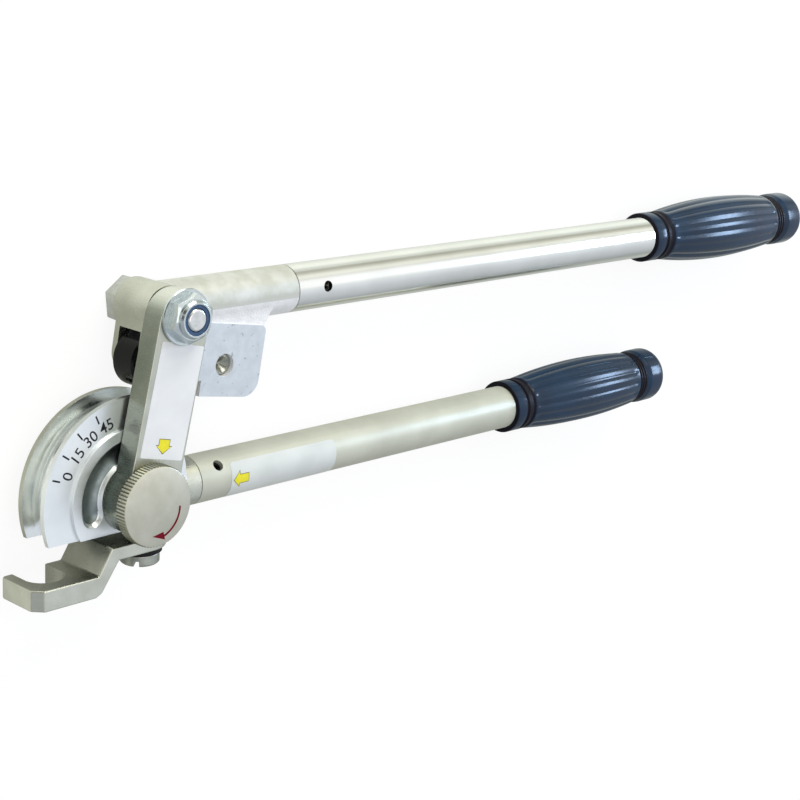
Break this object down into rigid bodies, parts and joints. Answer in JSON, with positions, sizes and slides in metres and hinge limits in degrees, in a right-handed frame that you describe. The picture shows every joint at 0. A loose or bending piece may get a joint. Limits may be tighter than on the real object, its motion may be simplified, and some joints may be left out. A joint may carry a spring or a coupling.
{
  "type": "lever tube bender",
  "caption": "Hand lever tube bender: grooved former on a fixed handle, swinging link with a roller lever, swing-out tube hook and clamp knob.",
  "frame": {"origin": "on the bend axis, at the middle of the former's groove", "axes": "+X along the fixed handle towards its grip, +Y in the plane of the bend towards the lever, +Z along the bend axis towards the clamp knob"},
  "size_m": [0.5529, 0.1316, 0.0488],
  "materials": {
    "cast_nickel": "satin plated casting",
    "steel": "satin",
    "plated_tube": "bright plated",
    "zinc": "bright zinc",
    "dark_steel": "black oxide",
    "grip": "gloss",
    "roller": "gloss",
    "nylon": "matt"
  },
  "bodies": {
    "base": {"bending_former": "cast_nickel", "centre_stud": "steel", "lower_tube": "plated_tube", "lower_spring_pin": "dark_steel", "lower_grip": "grip", "hook_screw": "zinc", "hook_spring_washer": "dark_steel"},
    "link": {"link_bar": "steel", "pivot_bolt": "zinc", "pivot_washer": "zinc", "lock_nut": "zinc", "nut_insert": "nylon"},
    "lever": {"lever_head": "cast_nickel", "upper_tube": "plated_tube", "upper_spring_pin": "dark_steel", "upper_grip": "grip", "inner_roller_pin": "steel", "outer_roller_pin": "steel"},
    "inner_roller": {"inner_roller": "roller"},
    "outer_roller": {"outer_roller": "roller"},
    "hook": {"tube_hook": "cast_nickel"},
    "knob": {"clamp_knob": "steel"}
  },
  "joints": [
    {"name": "link_swing", "type": "hinge", "parent": "base", "child": "link", "pos_m": [0, 0, 0], "axis": [0, 0, 1], "range_deg": [-4, 101]},
    {"name": "lever_swing", "type": "hinge", "parent": "link", "child": "lever", "pos_m": [0.01749, 0.07637, 0], "axis": [0, 0, 1], "range_deg": [-3, 90]},
    {"name": "inner_roller_spin", "type": "hinge", "parent": "lever", "child": "inner_roller", "pos_m": [0.01408, 0.05484, 0], "axis": [0, 0, 1], "continuous": true},
    {"name": "outer_roller_spin", "type": "hinge", "parent": "lever", "child": "outer_roller", "pos_m": [0.04914, 0.04929, 0], "axis": [0, 0, 1], "continuous": true},
    {"name": "hook_swing", "type": "hinge", "parent": "base", "child": "hook", "pos_m": [0.0095, -0.0205, 0.004], "axis": [0, 1, 0], "range_deg": [0, 60]},
    {"name": "knob_turn", "type": "hinge", "parent": "base", "child": "knob", "pos_m": [0, 0, 0.0247], "axis": [0, 0, 1], "range_deg": [0, 360]}
  ]
}
